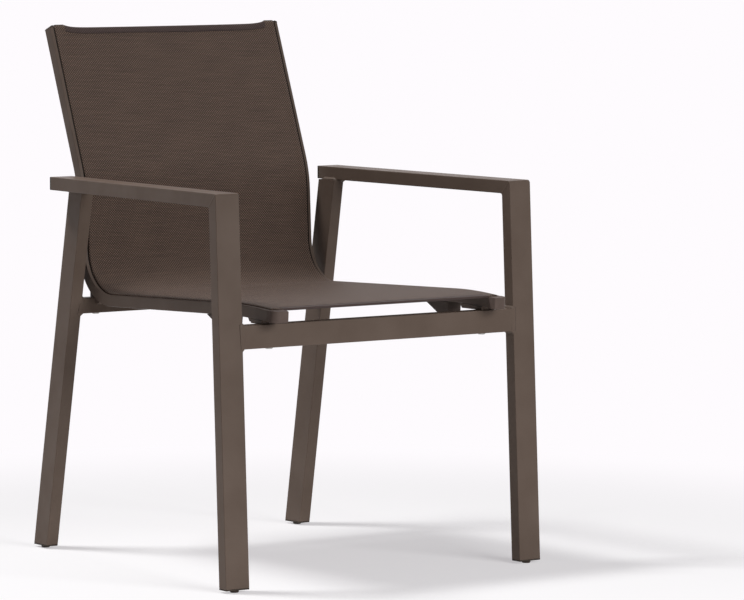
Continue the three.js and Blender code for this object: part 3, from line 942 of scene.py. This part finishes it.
def make_stitches(length):
    """A row of lockstitches along each hem: small raised lozenges of thread."""
    reach = rail_inner - stitch_margin
    count = round(2 * reach / stitch_pitch)
    half, wide = stitch_length / 2, stitch_width / 2
    shoulder = half * stitch_shoulder
    ring = [(-half, 0), (-shoulder, -wide), (shoulder, -wide)]
    ring += [(half, 0), (shoulder, wide), (-shoulder, wide)]
    top_ring = [(dx * stitch_top_length, ds * stitch_top_width) for dx, ds in ring]
    points, faces = [], []
    for end, way in ((0.0, 1), (length, -1)):
        for i in range(count + 1):
            x = lerp(-reach, reach, i / count)
            distance = end + way * hem_width + (top_edge(x) if way < 0 else 0.0)
            faces += prism_faces(len(points), len(ring))
            points += [on_sling(x + dx, distance + ds, hem_top - stitch_rise) for dx, ds in ring]
            points += [on_sling(x + dx, distance + ds, hem_top + stitch_rise) for dx, ds in top_ring]
    return new_piece("hem_stitches", points, faces, sewing_thread)


make_sling()

# Rigid pieces on the sling rails


def make_top_caps():
    """Moulded caps on the rails' top ends. A notch carries the slot through, the outer corner falls away."""
    _, cap_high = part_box("top_cap_left")
    full = (cap_high.z - rail_high.z) / math.cos(back_recline)

    def cap_block(x_low, x_high, low, high):
        outline = [(x_low, rail_length), (x_high, rail_length)]
        for i in range(cap_steps + 1):
            x = lerp(x_high, x_low, i / cap_steps)
            out = max(0.0, 1 - (half_shell - x) / cap_fall_run)
            outline.append((x, rail_length + full - cap_fall * (1 - math.sqrt(1 - out * out))))
        faces.extend(prism_faces(len(points), len(outline)))
        points.extend(off_rail(x, distance, lift) for lift in (low, high) for x, distance in outline)

    slot_middle = half_shell - slot_inset
    points, faces = [], []
    cap_block(rail_inner, half_shell, -rail_depth, -cap_notch)
    cap_block(rail_inner, slot_middle - slot_mouth / 2, -cap_notch, 0.0)
    cap_block(slot_middle + slot_mouth / 2, half_shell, -cap_notch, 0.0)
    pair = both_sides("top_cap_moulding", mirrored(points), faces, cap_plastic)
    round_edges(pair, cap_rounding)
    for piece, side in zip(pair, ("left", "right")):
        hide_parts(f"top_cap_{side}")


def make_spacer_flanges():
    """The outer half of each seat spacer: a lip that closes the gap between rail and front rail."""
    spacer_low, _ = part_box("seat_spacer_left")
    _, front_rail_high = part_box("front_rail")
    x_low, x_high = -spacer_low.x - flange_inset, half_shell - flange_inset
    start = (spacer_low.y - nose_y) / math.cos(nose_heading)
    points = []
    for i in range(flange_steps + 1):
        distance = start + flange_length * i / flange_steps
        for x, up in ((x_low, 0), (x_high, 0), (x_high, 1), (x_low, 1)):
            top = off_rail(x, distance, -rail_depth)
            points.append(top if up else Vector((x, top.y, front_rail_high.z)))
    faces = [tuple(reversed(face)) for face in strip_faces(flange_steps + 1, 4, closed=False)]
    pair = both_sides("seat_spacer_flange", mirrored(points), faces, rail_coat)
    round_edges(pair, flange_rounding)


make_top_caps()
make_spacer_flanges()

# Studio

white_ground = linear((254, 251, 254))
world_fill = 0.07
floor_half = 30
floor_pool = 0.7  # the floor's bright pool reaches this far from the chair's middle
floor_fade = 1.5  # and here it has run out into white
floor_lit = 0.6
floor_glow = 0.47  # keeps the shadows in the pool pale
floor_tint = 0.97  # green in that glow
pool_bounce = 0.85  # what the chair gets back from the pool
pool_glow = 0.3
far_bounce = 0.35  # and from the floor beyond it
lamp_target = (0, 0, 0.45)
camera_lens = 237.79
camera_sensor = 36
camera_reach = 100
camera_x = -4.4228
camera_y = -6.1984  # from the front of the arms
camera_z = 1.0975
camera_tilt = math.radians(90 - 4.99)
camera_turn = math.radians(-35.459)


def seen_directly(tree):
    """1 for the rays that show the background: from the camera, off gloss, and through glass."""
    paths = add(tree, "ShaderNodeLightPath")
    by_gloss = maths(tree, "MAXIMUM", paths.outputs["Is Glossy Ray"], paths.outputs["Is Transmission Ray"])
    return maths(tree, "MAXIMUM", paths.outputs["Is Camera Ray"], by_gloss)


def diffuse(tree, level):
    node = add(tree, "ShaderNodeBsdfDiffuse")
    feed(tree, node, {"Color": grey(level)})
    return node.outputs[0]


def glowing(tree, colour, strength=1.0):
    node = add(tree, "ShaderNodeEmission")
    feed(tree, node, {"Color": colour, "Strength": strength})
    return node.outputs[0]


def make_floor():
    """A pale floor that keeps the chair's shadow near it and runs out into the white background."""
    mesh = bpy.data.meshes.new("floor")
    corners = [(-1, -1), (1, -1), (1, 1), (-1, 1)]
    mesh.from_pydata([(x * floor_half, y * floor_half, 0) for x, y in corners], [], [(0, 1, 2, 3)])
    floor = new_object("floor", mesh)

    material, tree, shader = material_nodes("floor")
    tree.nodes.remove(shader)
    away = add(tree, "ShaderNodeVectorMath", operation="LENGTH")
    feed(tree, away, {0: object_place(tree)})
    far = add(tree, "ShaderNodeMapRange", interpolation_type="SMOOTHSTEP")
    feed(tree, far, {"Value": away.outputs["Value"], "From Min": floor_pool, "From Max": floor_fade})
    outside = far.outputs["Result"]

    pool = summed(tree, diffuse(tree, pool_bounce), glowing(tree, grey(1), pool_glow))
    bounce = mixed(tree, outside, pool, diffuse(tree, far_bounce))
    glow = glowing(tree, (floor_glow, floor_glow * floor_tint, floor_glow, 1))
    shown = mixed(tree, outside, summed(tree, diffuse(tree, floor_lit), glow), glowing(tree, white_ground))
    feed(tree, tree.nodes["Material Output"], {"Surface": mixed(tree, seen_directly(tree), bounce, shown)})
    mesh.materials.append(material)


def make_world():
    """White where the background shows, and a faint even fill on the chair."""
    world = bpy.data.worlds.new("studio")
    bpy.context.scene.world = world
    world.use_nodes = True
    tree = world.node_tree
    tree.nodes.clear()
    white, fill = [add(tree, "ShaderNodeBackground") for _ in range(2)]
    feed(tree, white, {"Color": white_ground})
    feed(tree, fill, {"Color": grey(1), "Strength": world_fill})
    shown = mixed(tree, seen_directly(tree), fill.outputs[0], white.outputs[0])
    feed(tree, add(tree, "ShaderNodeOutputWorld"), {"Surface": shown})


def area_light(name, place, width, height, power):
    light = bpy.data.lights.new(name, "AREA")
    light.shape = "RECTANGLE"
    light.size = width
    light.size_y = height
    light.energy = power
    lamp = new_object(name, light)
    lamp.location = place
    lamp.rotation_euler = (Vector(lamp_target) - Vector(place)).to_track_quat("-Z", "Y").to_euler()


def make_camera():
    """The camera, fitted to the straight edges of the frame in the photograph."""
    data = bpy.data.cameras.new("camera")
    data.lens = camera_lens
    data.sensor_width = camera_sensor
    data.clip_end = camera_reach
    camera = new_object("camera", data)
    camera.location = (camera_x, frame_y + camera_y, camera_z)
    camera.rotation_euler = (camera_tilt, 0, camera_turn)
    bpy.context.scene.camera = camera


make_camera()
make_floor()
make_world()
area_light("key", place=(-1.36, 0.98, 3.85), width=0.9, height=0.9, power=108)
area_light("front", place=(0.6, -4.2, 1.8), width=2.4, height=1.8, power=110)
bpy.context.scene.view_settings.view_transform = "Standard"
